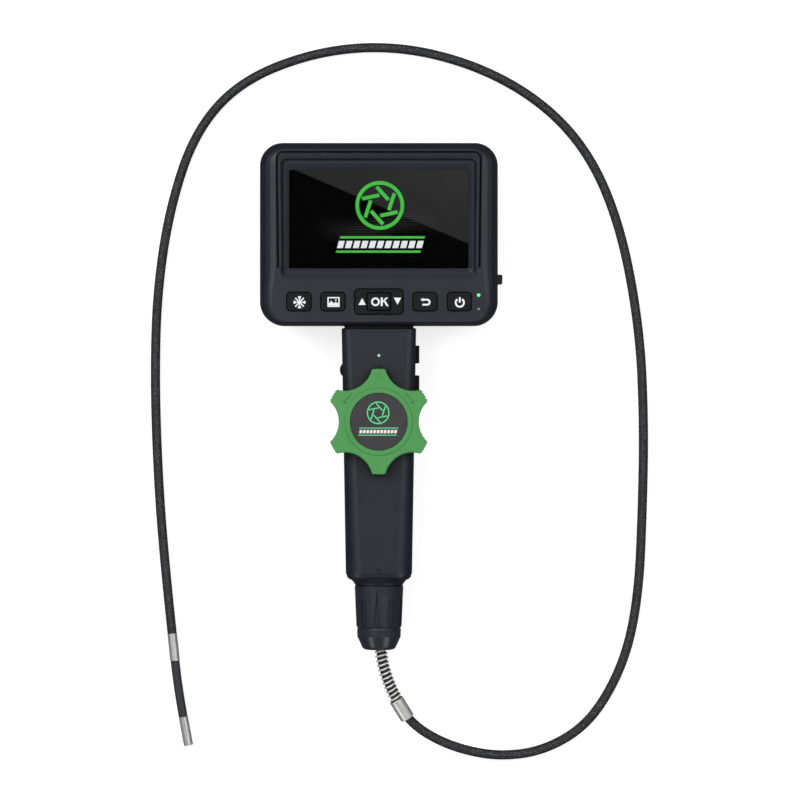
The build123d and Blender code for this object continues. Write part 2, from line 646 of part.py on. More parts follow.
def neck_spigot():
    profile = [(6.7, -91.2), (13.0, -91.2), (13.0, -93.1), (9.5, -93.1), (9.5, -99.0), (8.6, -99.4), (8.6, -103.4)]
    profile += threads(8.8, SPIGOT_R, -103.6, -112.0, 7)
    profile += [(6.7, -112.0)]
    return turned(profile)


def spigot_o_ring():
    return Pos(0, -101.4, AXIS_Z) * Rot(90, 0, 0) * Torus(9.05, 0.42)


def probe_plug():
    profile = [(0, -95.0), (PLUG_R, -95.0), (PLUG_R, -112.4), (9.2, -112.4), (9.2, -115.8), (4.9, -116.2),
               (4.9, PLUG_END_Y), (0, PLUG_END_Y)]
    return turned(profile)


def nut_groove(outline):
    """A cutter for the nut's flank, above its axis, with its floor along the taper."""
    return Pos(0, -113.4, NUT_GROOVE_FLOOR_R) * Rot(NUT_TAPER, 0, 0) * extrude(outline, 4)


def probe_nut():
    profile = [(NUT_BORE_R, NUT_TOP_Y), (12.6, NUT_TOP_Y), (12.9, NUT_TOP_Y - 0.5), (12.75, -102.0), (11.95, -120.9),
               (11.35, -121.4), (11.35, -121.9), (11.6, -122.4), (11.45, -126.3), (9.0, -131.7), (8.4, -132.6),
               (7.3, -133.1), (6.4, NUT_END_Y), (NUT_MOUTH_R, NUT_END_Y), (NUT_MOUTH_R, -117.0),
               (NUT_BORE_R, -117.0)]
    solid = turned(profile)
    slot = nut_groove(Rot(0, 0, 90) * SlotOverall(14.4, NUT_GROOVE_W))
    for step in range(1, NUT_GROOVES):
        turn = NUT_REST_TURN + 360.0 * step / NUT_GROOVES
        solid -= Pos(0, 0, AXIS_Z) * Rot(0, turn, 0) * slot
    half = NUT_GROOVE_W / 2
    pointer = nut_groove(make_face(Polyline((-half, -7.2), (half, -7.2), (0, 12.0), close=True)))
    return solid - Pos(0, 0, AXIS_Z) * Rot(0, NUT_REST_TURN, 0) * pointer


# ---------------------------------------------------------------- cable and strain relief

def route_turns():
    """The turn in radians at each inner point of the cable's route, and the runs between points."""
    runs = [Vector(b) - Vector(a) for a, b in zip(ROUTE, ROUTE[1:])]
    turns = [radians(before.get_angle(after)) for before, after in zip(runs, runs[1:])]
    return turns, [run.length for run in runs]


def cable_path():
    turns, runs = route_turns()
    radii = [ARC_SHARE * min(a, b) / tan(turn / 2) for turn, a, b in zip(turns, runs, runs[1:])]
    path = FilletPolyline(*ROUTE, radius=radii)
    print("cable arc radii, mm:", [round(radius) for radius in radii])
    print("longest and shortest run, mm:", round(max(runs), 1), round(min(runs), 1))
    return path


def across(path, at):
    """A plane square to the path, a given distance along it."""
    return Plane(origin=path.position_at(at, position_mode=PositionMode.LENGTH),
                 z_dir=path.tangent_at(at, position_mode=PositionMode.LENGTH))


def probe_cable(path):
    solid = sweep(across(path, 0) * Circle(CABLE_R), path=path)
    expected = pi * CABLE_R ** 2 * path.length
    print("cable length, mm:", round(path.length, 1), "volume over section times length:",
          round(solid.volume / expected, 4))
    return solid


def strain_spring(path):
    """The turns of the strain relief spring, each as a ring square to the cable."""
    pitch = (SPRING_END - SPRING_START) / (SPRING_TURNS - 1)
    places = [across(path, SPRING_START + pitch * turn) for turn in range(SPRING_TURNS)]
    return group(place * Torus(SPRING_COIL_R, SPRING_WIRE_R) for place in places)


def spring_ferrule(path):
    middle = across(path, SPRING_END + 1.3 + SPRING_FERRULE_LONG / 2)
    barrel = chamfer(Cylinder(SPRING_FERRULE_R, SPRING_FERRULE_LONG).edges(), 0.4)
    return middle * (barrel - Cylinder(CABLE_R + 0.4, SPRING_FERRULE_LONG + 2))


# ---------------------------------------------------------------- steerable tip

def heading(angle):
    """The direction on the floor that points towards -Y, turned by angle degrees towards +X."""
    return Vector(sin(radians(angle)), -cos(radians(angle)), 0)


def tip_chain():
    """Where each pivot of the bending section lies, and the heading of each piece after it."""
    last = Vector(ROUTE[-1]) - Vector(ROUTE[-2])
    angle = degrees(atan2(last.X, -last.Y))
    start = Vector(ROUTE[-1][0], ROUTE[-1][1], TIP_Z)
    ferrule_end = start + heading(angle) * TIP_FERRULE_LONG
    pitch = (BEND_LONG - 4 * LINK_SET_BACK) / LINKS
    pivot = ferrule_end + heading(angle) * (2 * LINK_SET_BACK)
    chain = []
    for _ in range(LINKS + 1):
        angle += REST_CURL
        chain.append((pivot, angle))
        pivot = pivot + heading(angle) * pitch
    return start, angle - REST_CURL * (LINKS + 1), chain, pitch


def lay(origin, angle, shape):
    """Puts a shape that is drawn along +Y at origin, lying along the heading angle."""
    return Pos(origin.X, origin.Y, origin.Z) * Rot(0, 0, 180 + angle) * shape


def ear(y_root, y_pivot, z0, z1):
    plate = block(-EAR_HALF_W, EAR_HALF_W, min(y_root, y_pivot), max(y_root, y_pivot), z0, z1)
    return plate + rod_z(EAR_HALF_W, z0, z1, 0, y_pivot)


def front_ears(y_root, y_pivot):
    """The outer pair of ears, with the holes that the next piece's rivets turn in."""
    pair = ear(y_root, y_pivot, 1.55, 1.95) + ear(y_root, y_pivot, -1.95, -1.55)
    return pair - rod_z(0.3, -3, 3, 0, y_pivot)


def back_ears(y_root, y_pivot):
    """The inner pair of ears, with their rivets."""
    pair = ear(y_root, y_pivot, 1.1, 1.45) + ear(y_root, y_pivot, -1.45, -1.1)
    return pair + rod_z(0.25, 1.2, 1.9, 0, y_pivot) + rod_z(0.25, -1.9, -1.2, 0, y_pivot)


def bending_link(pitch):
    """One ring of the bending section, drawn along +Y from its rear pivot at the origin."""
    low = LINK_SET_BACK
    high = pitch - LINK_SET_BACK
    ring = rod_y(LINK_R, low, high, 0, 0) + back_ears(low + 0.3, 0)
    ring -= rod_y(LINK_BORE_R, low + 0.5, high + 1, 0, 0) + rod_y(0.8, low - 1, high, 0, 0)
    return ring + front_ears(high - 0.3, pitch)


def tip_ferrule():
    """Metal ferrule between the cable and the bending section, drawn along +Y from the cable's end."""
    barrel = rod_y(TIP_FERRULE_R, 0, TIP_FERRULE_LONG, 0, 0)
    barrel = chamfer(barrel.edges(), 0.2)
    for y in (1.4, 2.2, 12.6, 13.4):
        barrel -= rod_y(3, y - 0.15, y + 0.15, 0, 0) - rod_y(TIP_FERRULE_R - 0.12, y - 1, y + 1, 0, 0)
    barrel -= rod_y(LINK_BORE_R, TIP_FERRULE_LONG - 3, TIP_FERRULE_LONG + 1, 0, 0)
    return barrel + front_ears(TIP_FERRULE_LONG - 0.4, TIP_FERRULE_LONG + 2 * LINK_SET_BACK)


def camera_head():
    """Barrel of the camera head, drawn along +Y from its rear pivot at the origin."""
    low = 2 * LINK_SET_BACK
    barrel = chamfer(rod_y(CAMERA_R, low, low + CAMERA_LONG, 0, 0).edges(), 0.3)
    barrel -= rod_y(2.05, low + 2.5, low + CAMERA_LONG + 1, 0, 0)
    return barrel + back_ears(low + 0.4, 0)


def camera_module():
    low = 2 * LINK_SET_BACK
    body = block(-1.25, 1.25, low + 4.0, low + 12.6, -1.25, 1.25)
    return body + rod_y(1.0, low + 12.6, low + 14.2, 0, 0)


def led_ring():
    """Board at the tip with a ring of small lamps around the camera's lens."""
    low = 2 * LINK_SET_BACK
    board = rod_y(2.0, low + 13.0, low + 13.5, 0, 0) - rod_y(1.05, low, low + 20, 0, 0)
    for lamp in range(6):
        angle = radians(60 * lamp + 30)
        x = 1.52 * cos(angle)
        z = 1.52 * sin(angle)
        board += rod_y(0.32, low + 13.4, low + 14.2, x, z)
    return board


def lens_window():
    low = 2 * LINK_SET_BACK
    return rod_y(2.0, low + 14.3, low + 15.2, 0, 0)


def bending_sleeve(start, start_angle, chain):
    """Rubber sleeve over the links, along the gentle arc that they lie on."""
    a = start + heading(start_angle) * (TIP_FERRULE_LONG + 0.1)
    last_pivot, end_angle = chain[-1]
    b = last_pivot + heading(end_angle) * (2 * LINK_SET_BACK - 0.1)
    chord = b - a
    bulge = chord.length * tan(radians(end_angle - start_angle) / 4) / 2
    side = Vector(chord.Y, -chord.X, 0).normalized()
    middle = (a + b) * 0.5 + side * bulge
    path = ThreePointArc(a, middle, b)
    ring = Plane(origin=path @ 0, z_dir=path % 0) * (Circle(SLEEVE_R) - Circle(SLEEVE_R - 0.2))
    return sweep(ring, path=path)


def save_head():
    save("front_bezel", front_bezel())
    save("rear_cover", rear_cover())
    save("head_screws", head_screws())
    save("port_cover", port_cover())
    save("port_block", port_block())
    save("screen_glass", screen_glass())
    save("screen_gasket", screen_gasket())
    save("lcd_panel", lcd_panel())
    save("main_board", main_board())
    save("keypad_membrane", keypad_membrane())
    save("power_led", led_pipe(1.0, POWER_LED_Y))
    save("status_led", led_pipe(0.6, STATUS_LED_Y))
    for name, (x, width, height) in KEYS.items():
        save(name, key(x, width, height))
    save("up_down_rocker", up_down_rocker())
    save("ok_button", ok_button())
    save("neck_gasket", neck_gasket())
    save("neck_stub", neck_stub())


def save_handle():
    body = handle_body()
    save("handle_front_shell", handle_front_shell(body))
    save("handle_rear_shell", handle_rear_shell(body))
    save("handle_screws", handle_screws())
    save("handle_led", handle_led())
    for name, y in SIDE_KEYS.items():
        save(name, side_button(y))
    save("side_switch_board", side_switch_board())
    save("lamp_button", lamp_button())
    save("battery_cell", battery_cell())
    save("battery_contacts", battery_contacts())
    save("drum_bracket", drum_bracket())


def save_drive():
    save("steering_knob", steering_knob())
    save("knob_badge", knob_badge())
    save("knob_screw", knob_screw())
    save("knob_shaft", knob_shaft())
    save("wire_drum", wire_drum())
    save("shaft_bush", shaft_bush())
    save("shaft_o_ring", shaft_o_ring())
    save("wire_guide", wire_guide())
    save("steering_wires", steering_wires())


def save_probe():
    save("neck_spigot", neck_spigot())
    save("spigot_o_ring", spigot_o_ring())
    save("probe_plug", probe_plug())
    save("probe_nut", probe_nut())
    path = cable_path()
    save("probe_cable", probe_cable(path))
    save("strain_spring", strain_spring(path))
    save("spring_ferrule", spring_ferrule(path))


def save_tip():
    start, start_angle, chain, pitch = tip_chain()
    save("tip_ferrule", lay(start, start_angle, tip_ferrule()))
    for number, (pivot, angle) in enumerate(chain[:-1], start=1):
        save(f"link_{number}", lay(pivot, angle, bending_link(pitch)))
    pivot, angle = chain[-1]
    save("camera_head", lay(pivot, angle, camera_head()))
    save("camera_module", lay(pivot, angle, camera_module()))
    save("led_ring", lay(pivot, angle, led_ring()))
    save("lens_window", lay(pivot, angle, lens_window()))
    save("bending_sleeve", bending_sleeve(start, start_angle, chain))
    for number, (pivot, angle) in enumerate(chain, start=1):
        print("pivot", number, "at", [round(v, 3) for v in pivot], "heading", round(angle, 3))


os.makedirs("parts", exist_ok=True)
save_head()
save_handle()
save_drive()
save_probe()
save_tip()
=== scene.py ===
import json
from bisect import bisect_right
from math import atan2, cos, degrees, pi, radians, sin

import bmesh
import bpy
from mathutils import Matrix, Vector


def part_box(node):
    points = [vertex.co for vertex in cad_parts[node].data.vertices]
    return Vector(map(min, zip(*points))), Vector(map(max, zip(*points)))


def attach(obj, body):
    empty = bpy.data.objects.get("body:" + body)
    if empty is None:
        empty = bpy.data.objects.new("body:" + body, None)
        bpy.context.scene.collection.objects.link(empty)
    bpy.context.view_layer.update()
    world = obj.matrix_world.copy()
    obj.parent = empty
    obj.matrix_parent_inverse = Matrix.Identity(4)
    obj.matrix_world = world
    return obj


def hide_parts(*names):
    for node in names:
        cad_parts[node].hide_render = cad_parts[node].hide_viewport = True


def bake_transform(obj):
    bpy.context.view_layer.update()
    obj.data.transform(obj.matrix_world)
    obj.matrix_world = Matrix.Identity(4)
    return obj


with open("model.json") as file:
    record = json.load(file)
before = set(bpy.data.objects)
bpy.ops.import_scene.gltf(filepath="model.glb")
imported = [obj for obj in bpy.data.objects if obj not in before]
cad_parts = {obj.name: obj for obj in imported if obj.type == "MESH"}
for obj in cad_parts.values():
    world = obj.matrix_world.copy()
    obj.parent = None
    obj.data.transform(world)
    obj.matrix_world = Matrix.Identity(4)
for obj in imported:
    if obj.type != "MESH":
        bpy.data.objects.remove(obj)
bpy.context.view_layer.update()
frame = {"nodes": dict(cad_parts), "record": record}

# Looks for a two-way articulating inspection camera that lies on its back.
# Lengths in the tables below are in millimetres, and MM turns them into the scene's metres.
MM = 0.001

# Camera, straight above the object
VIEW_CENTRE = (11.1 * MM, -1.3 * MM)
VIEW_WIDTH = 422.4 * MM
VIEW_LEVEL = 20 * MM
LENS = 200
SENSOR = 36

# Probe: corner points of the cable's centre line, from the plug to the tip ferrule
ROUTE = [
    (0.0, -119.0, 17.0), (0.6, -135.5, 16.9), (4.2, -149.2, 14.8), (9.5, -160.8, 12.0),
    (16.0, -171.3, 9.4), (27.3, -180.0, 7.2), (43.8, -187.0, 5.4), (63.9, -190.7, 4.1),
    (86.0, -188.1, 3.2), (106.9, -177.0, 2.7), (120.9, -159.7, 2.6), (132.3, -134.4, 2.6),
    (138.1, -102.7, 2.6), (140.0, -61.0, 2.6), (140.9, -14.5, 2.6), (138.7, 35.6, 2.6),
    (128.9, 89.5, 2.6), (112.2, 129.6, 2.6), (86.3, 157.7, 2.6), (50.5, 177.4, 2.6),
    (8.6, 187.3, 2.6), (-33.3, 184.2, 2.6), (-73.9, 168.3, 2.6), (-98.0, 141.2, 2.6),
    (-111.4, 100.6, 2.6), (-118.0, 56.8, 2.6), (-119.3, 12.4, 2.6), (-117.9, -35.6, 2.6),
    (-114.6, -83.2, 2.6), (-110.1, -125.4, 2.6),
]
CABLE_R = 2.45

PATH_STEPS = 600

# Braid: strands each way round, the length in which one strand goes once round, the radius at the foot of
# the strands, their height, and the height that a strand keeps where another passes over it
STRANDS = 8
BRAID_LAY = 18.4
BRAID_FOOT_R = CABLE_R - 0.1
BRAID_DEPTH = 0.16
UNDER_SHARE = 0.45
RING_STEP = 0.3
RING_SIDES = 48

# Strain relief spring and its ferrule, placed by their distance along the cable from the plug
SPRING_TURNS = 13
SPRING_COIL_R = 2.98
SPRING_WIRE_R = 0.46
SPRING_START = 10.5
SPRING_END = 41.9
STEPS_A_TURN = 30
WIRE_SIDES = 12
FERRULE_MIDDLE = 48.7

# Bending section. PIVOT_INSET is how far its outer pivots lie from its ends, and REST_CURL is the bend at
# each pivot at rest, in degrees.
TIP_FERRULE_LONG = 14.7
BEND_LONG = 30.0
LINKS = 5
PIVOT_INSET = 1.5
REST_CURL = 0.75
SLEEVE_R = 2.35
SLEEVE_WALL = 0.2
SLEEVE_GAP = 0.1
SLEEVE_SIDES = 32
SLEEVE_STEPS = 16

# Print: its thickness, how deep it sits in a surface, and the distance within which corners are joined
PRINT_THICK = 0.04
PRINT_SUNK = 0.01
WELD = 0.002

# Picture on the screen, from the top edge of the LCD module and from the picture's middle. SHEEN_X and
# SHEEN_RISE place the slanting edge of the painted glare reflection, from the left top corner to a point over
# the right lower one.
PICTURE_DROP = 33.6
PICTURE_HALF_W = 48.4
PICTURE_HALF_H = 27.4
SHEEN_X = 47.6
SHEEN_RISE = 14.4
WAVE_Y = -3.5
DOTS_A_MM = 0.72

# Marks on the screen and on the knob's badge. Places are (x, y) from the middle. An emblem has a size and a
# line width, the lines a width, a distance apart and a thickness, and the bar a width, a height and a count.
SCREEN_MARK = {
    "emblem_place": (0.5, 7.3),
    "emblem": (25.6, 1.9),
    "bar_place": (0.8, -13.2),
    "lines": (44.4, 7.5, 1.2),
    "bar": (45.6, 3.8, 11),
    "lean": 0.28,
}
BADGE_MARK = {
    "emblem_place": (-0.3, 4.6),
    "emblem": (11.8, 0.6),
    "bar_place": (-0.3, -5.2),
    "lines": (20.2, 3.7, 0.45),
    "bar": (20.0, 1.7, 11),
    "lean": 0.2,
}

# Raised arrows on the knob: radius of their line, angles in degrees, the line's width, the head's half width,
# how far under the knob's highest point they start, and how thick they are
ARROW_R = 20.4
ARROW_FROM_TOP = 52
ARROW_TAIL = 9
ARROW_NECK = 7
ARROW_HEAD = 5.5
ARROW_LINE = 0.7
ARROW_HALF_W = 1.3
ARROW_DROP = 0.52
ARROW_THICK = 0.12

# Studio, in metres and watts: each softbox's place, aim, size and power
SOFTBOXES = {
    "left_softbox": ((-1.0, 0.6, 1.5), (0, 0, 0), (0.8, 1.6), 18),
    "right_softbox": ((1.1, 0.4, 1.5), (0, 0, 0), (0.6, 1.6), 10),
    "top_softbox": ((0.0, 1.5, 1.4), (0, 0.05, 0), (1.8, 0.7), 8),
    "low_left_strip": ((-1.1, -1.3, 1.1), (0, -0.13, 0), (0.5, 1.0), 7),
    "low_right_strip": ((1.1, -1.3, 1.1), (0, -0.13, 0), (0.5, 1.0), 7),
}
FLOOR_HALF = 4.0
FLOOR_LEVEL = -0.3 * MM


def mm(x, y, z=0.0):
    return Vector((x * MM, y * MM, z * MM))


def middle_and_top(node):
    """The middle of a node's box and the height of its top, in millimetres."""
    low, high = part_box(node)
    return (low + high) / 2 / MM, high.z / MM


# ---------------------------------------------------------------- meshes

def add_object(name, mesh, material, smooth=False):
    piece = bpy.data.objects.new(name, mesh)
    bpy.context.scene.collection.objects.link(piece)
    mesh.materials.append(material)
    if smooth:
        mesh.shade_smooth()
    return piece


def tube_mesh(name, rings, closed_ends=True):
    """A tube through rings of equal point counts, with U along it and V round it, both from 0 to 1."""
    sides = len(rings[0])
    last = len(rings) - 1
    points = [point for ring_points in rings for point in ring_points]
    faces = []
    corners = []
    for row in range(last):
        start = row * sides
        above = start + sides
        for side in range(sides):
            turn = (side + 1) % sides
            faces.append((start + side, start + turn, above + turn, above + side))
            corners += [(row, side), (row, side + 1), (row + 1, side + 1), (row + 1, side)]
    if closed_ends:
        faces.append(tuple(reversed(range(sides))))
        faces.append(tuple(range(last * sides, (last + 1) * sides)))
        corners += [(0, sides - side) for side in range(sides)]
        corners += [(last, side) for side in range(sides)]
    mesh = bpy.data.meshes.new(name)
    mesh.from_pydata(points, [], faces)
    layer = mesh.uv_layers.new(name="UVMap")
    layer.data.foreach_set("uv", [value for row, side in corners for value in (row / last, side / sides)])
    mesh.update()
    return mesh


def plate(name, outlines, low_z, material, body, thick=PRINT_THICK):
    """A thin plate of flat outlines in millimetres, given as lists of (x, y) in either sense."""
    sheet = bmesh.new()
    for outline in outlines:
        face = sheet.faces.new([sheet.verts.new(mm(x, y, low_z)) for x, y in outline])
        face.normal_update()
        if face.normal.z > 0:
            face.normal_flip()
    bmesh.ops.remove_doubles(sheet, verts=sheet.verts[:], dist=WELD * MM)
    grown = bmesh.ops.extrude_face_region(sheet, geom=sheet.faces[:], use_keep_orig=True)
    top = [item for item in grown["geom"] if isinstance(item, bmesh.types.BMVert)]
    bmesh.ops.translate(sheet, verts=top, vec=mm(0, 0, thick))
    bmesh.ops.recalc_face_normals(sheet, faces=sheet.faces[:])
    mesh = bpy.data.meshes.new(name)
    sheet.to_mesh(mesh)
    sheet.free()
    piece = add_object(name, mesh, material)
    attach(piece, body)


def moved(outlines, x, y):
    """The outlines, shifted by x and y."""
    return [[(px + x, py + y) for px, py in outline] for outline in outlines]


def polar(radius, angle):
    """The point at a radius and at an angle in degrees."""
    return (radius * cos(radians(angle)), radius * sin(radians(angle)))


def arc(x, y, radius, start, end, steps):
    """Points on an arc, from start to end in degrees."""
    angles = [radians(start + (end - start) * step / steps) for step in range(steps + 1)]
    return [(x + radius * cos(angle), y + radius * sin(angle)) for angle in angles]


def stroke(points, width, closed=False):
    """A line of the given width through points, as quads that share their mitred ends."""
    count = len(points)
    left = []
    right = []
    for i, (x, y) in enumerate(points):
        before = points[i - 1] if closed or i > 0 else None
        after = points[(i + 1) % count] if closed or i < count - 1 else None
        into = (Vector((x, y)) - Vector(before)).normalized() if before else None
        out = (Vector(after) - Vector((x, y))).normalized() if after else None
        into = into or out
        out = out or into
        side = Vector((-into.y - out.y, into.x + out.x)).normalized()
        reach = width / 2 / max(side.dot(Vector((-into.y, into.x))), 0.35)
        left.append((x + side.x * reach, y + side.y * reach))
        right.append((x - side.x * reach, y - side.y * reach))
    spans = range(count if closed else count - 1)
    return [[left[i], right[i], right[(i + 1) % count], left[(i + 1) % count]] for i in spans]


def ring(x, y, radius, width, steps=48):
    """A circular line of the given width."""
    return stroke(arc(x, y, radius, 0, 360, steps)[:-1], width, closed=True)


# ---------------------------------------------------------------- materials

class NodeTree:
    """A node tree whose sockets are fed by constants or by other nodes."""

    def __init__(self, tree):
        self.nodes = tree.nodes
        self.links = tree.links

    def feed(self, socket, value):
        if isinstance(value, bpy.types.NodeSocket):
            self.links.new(value, socket)
        else:
            socket.default_value = value

    def node(self, kind, inputs=None, **settings):
        made = self.nodes.new("ShaderNode" + kind)
        for key, value in settings.items():
            setattr(made, key, value)
        for key, value in (inputs or {}).items():
            self.feed(made.inputs[key], value)
        return made

    def math(self, operation, a, b=0.0, c=0.0):
        return self.node("Math", {0: a, 1: b, 2: c}, operation=operation).outputs[0]

    def spread(self, value, low, high, start=0.0, end=1.0):
        """value from start..end spread over low..high, and held at those beyond."""
        inputs = {"Value": value, "From Min": start, "From Max": end, "To Min": low, "To Max": high}
        return self.node("MapRange", inputs).outputs[0]


class Shader(NodeTree):
    """A Principled material whose inputs are fed by procedural nodes."""

    def __init__(self, name, **constants):
        self.material = bpy.data.materials.new(name)
        self.material.use_nodes = True
        super().__init__(self.material.node_tree)
        self.surface = self.nodes["Principled BSDF"]
        for key, value in constants.items():
            self.feed(self.surface.inputs[key.replace("_", " ")], value)

    def place(self, origin=(0, 0, 0), turn=(0, 0, 0), scale=(1, 1, 1)):
        """Object coordinates in millimetres, seen from an origin and a turn, then scaled."""
        seat = self.node("TexCoord").outputs["Object"]
        inputs = {"Vector": seat, "Location": origin, "Rotation": turn}
        local = self.node("Mapping", inputs, vector_type="TEXTURE").outputs[0]
        grown = tuple(value / MM for value in scale)
        return self.node("Mapping", {"Vector": local, "Scale": grown}).outputs[0]

    def noise(self, vector, scale, detail=2.0, roughness=0.5):
        inputs = {"Vector": vector, "Scale": scale, "Detail": detail, "Roughness": roughness}
        return self.node("TexNoise", inputs).outputs["Fac"]

    def ramp(self, factor, *stops):
        made = self.node("ValToRGB", {"Fac": factor})
        elements = made.color_ramp.elements
        while len(elements) < len(stops):
            elements.new(0.5)
        for element, (at, colour) in zip(elements, stops):
            element.position = at
            element.color = (*colour, 1.0)
        return made.outputs["Color"]

    def bump(self, height, depth, edge=0.0):
        """Relief of the given depth in millimetres, on edges softened over a radius."""
        inputs = {"Height": height, "Distance": depth * MM, "Strength": 1.0}
        if edge:
            inputs["Normal"] = self.node("Bevel", {"Radius": edge * MM}, samples=4).outputs[0]
        self.feed(self.surface.inputs["Normal"], self.node("Bump", inputs).outputs[0])

    def colour(self, value):
        self.feed(self.surface.inputs["Base Color"], value)

    def roughness(self, value):
        self.feed(self.surface.inputs["Roughness"], value)

    def glow(self, value):
        self.feed(self.surface.inputs["Emission Color"], value)


def moulded_plastic(name, dark, light, rough, grain=0.35, depth=0.012, edge=0.22, crevice=0.0, **constants):
    """Moulded plastic with a fine grain and slow changes of gloss, and painted shade that darkens its colour
    and dims its gloss within the given reach in mm of a corner.
    """
    made = Shader(name, **constants)
    place = made.place()
    fine = made.noise(place, 1 / grain, detail=3.0, roughness=0.6)
    broad = made.noise(place, 0.07, detail=2.0)
    tone = made.math("ADD", made.math("MULTIPLY", fine, 0.6), made.math("MULTIPLY", broad, 0.4))
    if crevice:
        # Painted shade: ambient occlusion darkens the colour and lowers the specular level in crevices and
        # near corners.
        painted_shade_factor = made.node("AmbientOcclusion", {"Distance": crevice * MM}, samples=8).outputs["AO"]
        tone = made.math("MULTIPLY", tone, painted_shade_factor)
        shine = made.surface.inputs["Specular IOR Level"].default_value
        made.feed(made.surface.inputs["Specular IOR Level"], made.math("MULTIPLY", painted_shade_factor, shine))
    made.colour(made.ramp(tone, (0.0, (0.0, 0.0, 0.0)), (0.3, dark), (0.7, light)))
    made.roughness(made.spread(broad, rough - 0.06, rough + 0.06))
    made.bump(fine, depth, edge)
    return made.material


def streaked_metal(name, tone, rough, origin=(0, 0, 0), turn=(0, 0, 0)):
    """Drawn or turned metal whose fine lines run along the piece's own axis, its local Y."""
    made = Shader(name, Metallic=0.75)
    lines = made.noise(made.place(origin, turn, (1, 0.04, 1)), 2.2, detail=4.0, roughness=0.65)
    scuffs = made.noise(made.place(), 0.9, detail=3.0)
    low = tuple(value * 0.72 for value in tone)
    made.colour(made.ramp(lines, (0.32, low), (0.62, tone)))
    wear = made.math("MULTIPLY", lines, made.math("ADD", scuffs, 0.5))
    made.roughness(made.spread(wear, rough - 0.1, rough + 0.16))
    made.bump(lines, 0.012, 0.08)
    return made.material


def cast_metal(name, tone, rough):
    """Plated or machined metal without a direction."""
    made = Shader(name, Metallic=1.0)
    mottle = made.noise(made.place(), 1.6, detail=4.0)
    low = tuple(value * 0.75 for value in tone)
    made.colour(made.ramp(mottle, (0.3, low), (0.7, tone)))
    made.roughness(made.spread(mottle, rough - 0.08, rough + 0.1))
    made.bump(mottle, 0.01, 0.08)
    return made.material


def braid_material():
    """Black braid in UV, whose U runs along the cable and V round it: two families of strands that cross,
    with painted glints on the strands' crowns and painted shade in the hollows between them.
    """
    made = Shader("braid", Specular_IOR_Level=0.5)
    uv = made.node("SeparateXYZ", {0: made.node("TexCoord").outputs["UV"]})
    along = made.math("MULTIPLY", uv.outputs[0], cable_line.length / MM / BRAID_LAY * STRANDS)
    around = made.math("MULTIPLY", uv.outputs[1], STRANDS)
    first = made.math("ADD", around, along)
    second = made.math("SUBTRACT", around, along)
    cells = made.math("ADD", made.math("FLOOR", first), made.math("FLOOR", second))
    parity = made.math("MODULO", made.math("ABSOLUTE", cells), 2.0)
    under = made.math("SUBTRACT", 1.0, parity)
    across = made.math("ADD", made.math("MULTIPLY", made.math("FRACT", first), under),
                       made.math("MULTIPLY", made.math("FRACT", second), parity))
    off_centre = made.math("ABSOLUTE", made.math("SUBTRACT", across, 0.5))
    crown = made.math("SUBTRACT", 1.0, made.math("MULTIPLY", off_centre, 2.0))
    yarns = made.math("SINE", made.math("MULTIPLY", across, 2 * pi * 5))
    flecks = made.noise(made.place(), 1.1, detail=3.0, roughness=0.7)
    # Painted light: the colour follows the strands' height, with light grey glints on the crowns and darker
    # shade in the hollows.
    shade = made.math("MULTIPLY", made.math("POWER", crown, 1.5), flecks)
    made.colour(made.ramp(shade, (0.05, (0.0012, 0.0014, 0.0026)), (0.42, (0.004, 0.0045, 0.0065)),
                          (0.58, (0.26, 0.26, 0.28))))
    made.roughness(made.spread(flecks, 0.34, 0.58))
    made.bump(made.math("ADD", made.math("MULTIPLY", yarns, 0.5), crown), 0.05)
    return made.material


def sleeve_material():
    """Bluish black rubber sleeve with a fine woven skin, in UV so that it bends with the sleeve."""
    made = Shader("sleeve_rubber")
    uv = made.node("TexCoord").outputs["UV"]
    place = made.node("Mapping", {"Vector": uv, "Scale": (60, 26, 1)}).outputs[0]
    weave = made.noise(place, 1.0, detail=3.0, roughness=0.6)
    made.colour(made.ramp(weave, (0.3, (0.011, 0.012, 0.017)), (0.7, (0.024, 0.026, 0.036))))
    made.roughness(made.spread(weave, 0.55, 0.72))
    made.bump(weave, 0.03)
    return made.material


def glass_material(name):
    """Clear cover glass with faint smears."""
    made = Shader(name, Transmission_Weight=1.0, IOR=1.12)
    smears = made.noise(made.place(), 0.05, detail=2.0)
    made.colour(made.ramp(smears, (0.3, (0.93, 0.94, 0.95)), (0.7, (0.98, 0.98, 0.98))))
    made.roughness(made.spread(smears, 0.0, 0.03))
    return made.material


def lamp_material(name, core, rim, centre, reach, strength):
    """A lit light pipe that is brightest at its middle. reach is the glow's radius in millimetres."""
    made = Shader(name, Emission_Strength=strength, Roughness=0.25)
    origin = tuple(value * MM for value in centre)
    offset = made.place(origin, scale=(1 / reach, 1 / reach, 0))
    distance = made.node("VectorMath", {0: offset}, operation="LENGTH").outputs["Value"]
    light = made.ramp(distance, (0.25, core), (1.0, rim))
    made.colour(light)
    made.glow(light)
    return made.material


def printed_ink(name, tone, glow=0.0, **constants):
    """Printed or lit marking ink, or satin plating, slightly uneven."""
    made = Shader(name, Roughness=0.5, Emission_Strength=glow, **constants)
    patches = made.noise(made.place(), 2.5, detail=2.0)
    low = tuple(value * 0.93 for value in tone)
    ink = made.ramp(patches, (0.35, low), (0.65, tone))
    if glow:
        made.colour((0.0, 0.0, 0.0, 1.0))
        made.glow(ink)
    else:
        made.colour(ink)
    return made.material


